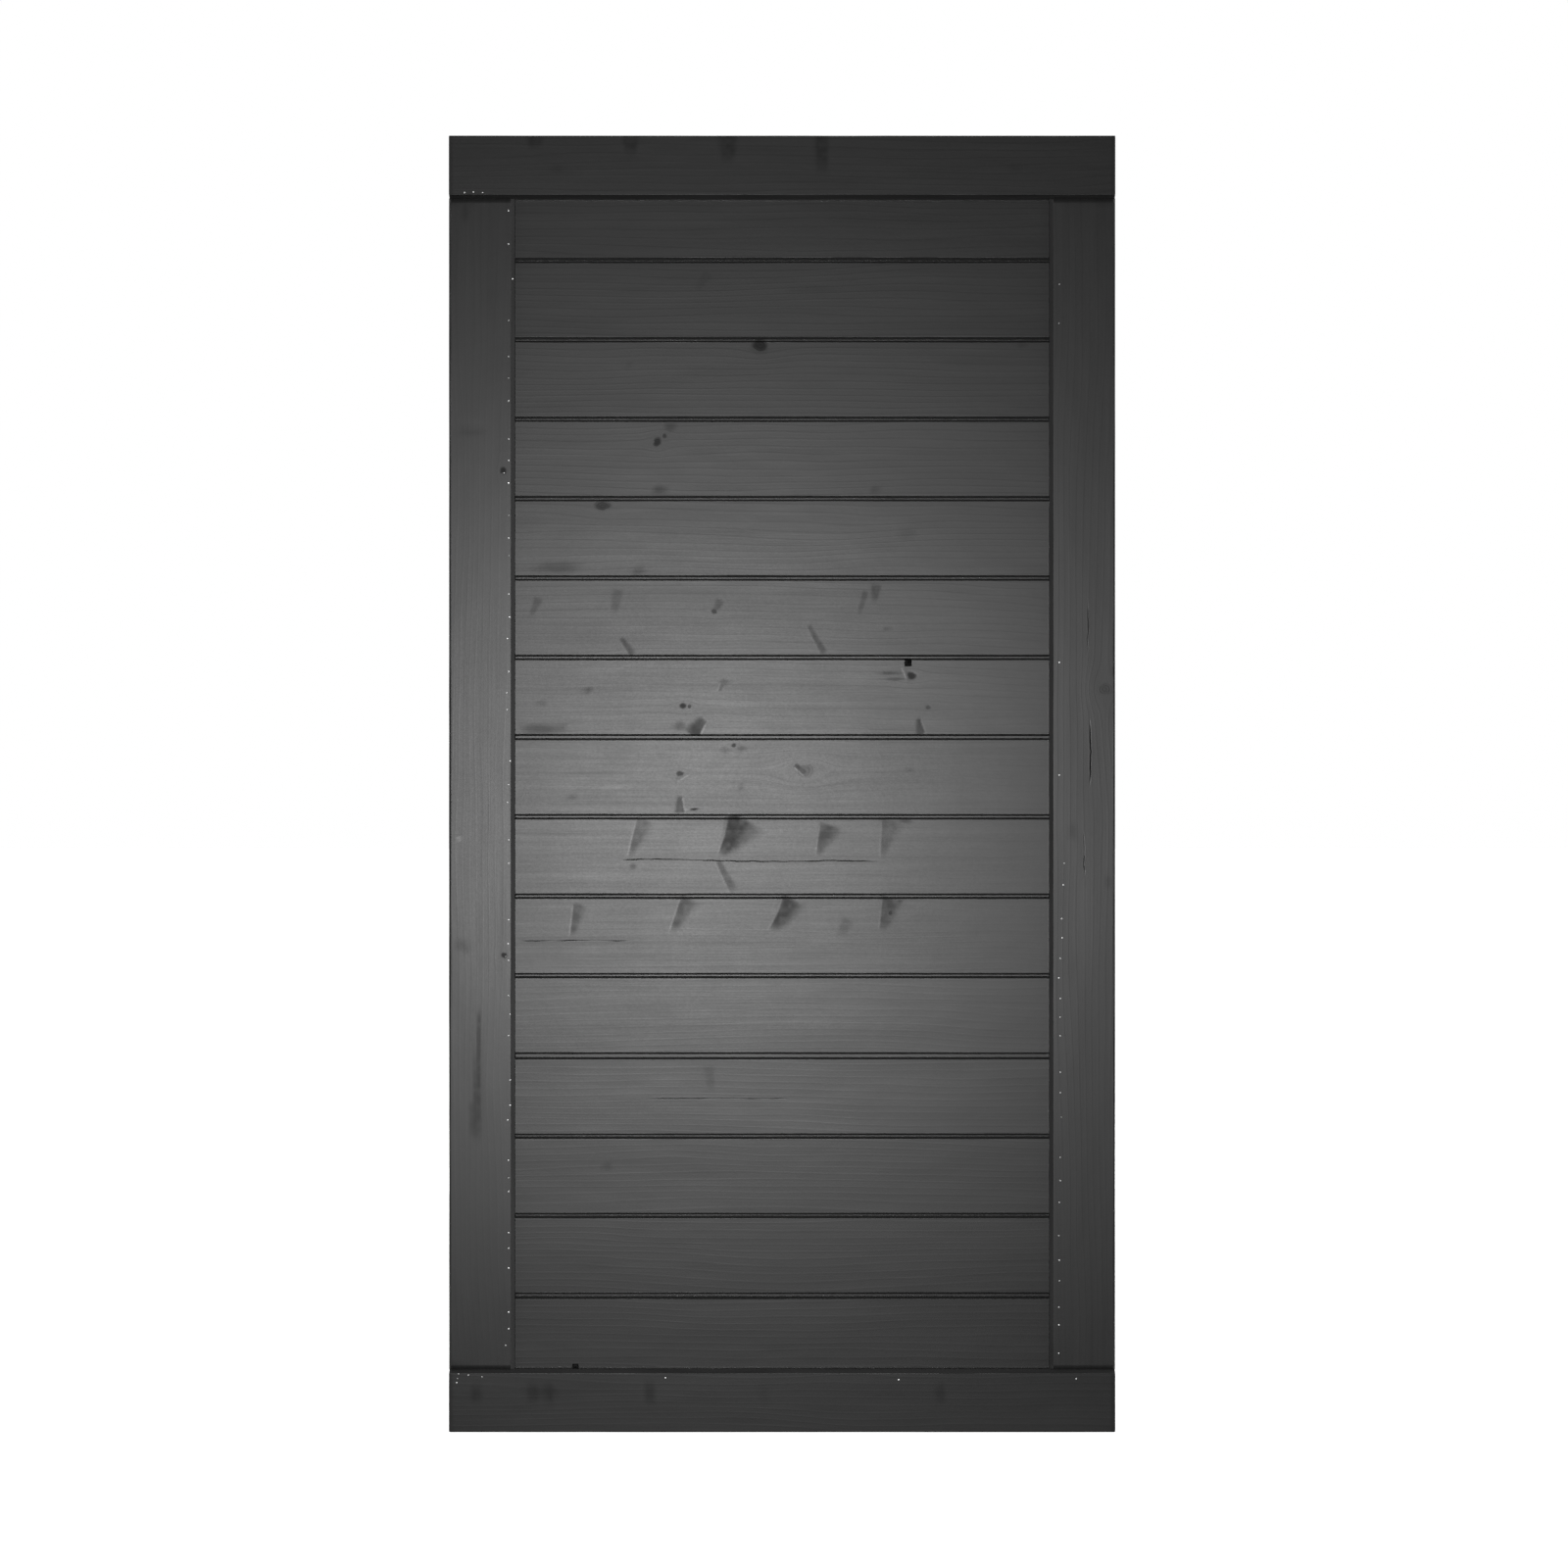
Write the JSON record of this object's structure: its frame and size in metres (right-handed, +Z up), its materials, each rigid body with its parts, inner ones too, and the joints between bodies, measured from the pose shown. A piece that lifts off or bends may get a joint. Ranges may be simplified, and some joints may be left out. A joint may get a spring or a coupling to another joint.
{
  "type": "boarded garden side gate leaf",
  "caption": "Solid timber side gate leaf: full-width rails, two stiles and horizontal tongue-and-groove boards set back in the frame, painted black.",
  "frame": {"origin": "on the flat outer edge of the hanging stile, at mid height and mid thickness of the leaf", "axes": "+X across the leaf towards the closing edge, +Y through the thickness towards the back, +Z up"},
  "size_m": [0.915, 0.044, 1.78],
  "materials": {
    "painted_frame": "black satin paint on planed softwood, knots and grain showing through",
    "painted_boards": "black satin paint on planed softwood matchboard, knots and fine cracks showing through",
    "pins": "bright zinc-plated pin heads, some bare, some with paint on them"
  },
  "bodies": {
    "root": {"top_rail": "painted_frame", "bottom_rail": "painted_frame", "hanging_stile": "painted_frame", "closing_stile": "painted_frame", "board_01": "painted_boards", "board_02": "painted_boards", "board_03": "painted_boards", "board_04": "painted_boards", "board_05": "painted_boards", "board_06": "painted_boards", "board_07": "painted_boards", "board_08": "painted_boards", "board_09": "painted_boards", "board_10": "painted_boards", "board_11": "painted_boards", "board_12": "painted_boards", "board_13": "painted_boards", "board_14": "painted_boards", "board_15": "painted_boards"}
  },
  "joints": []
}
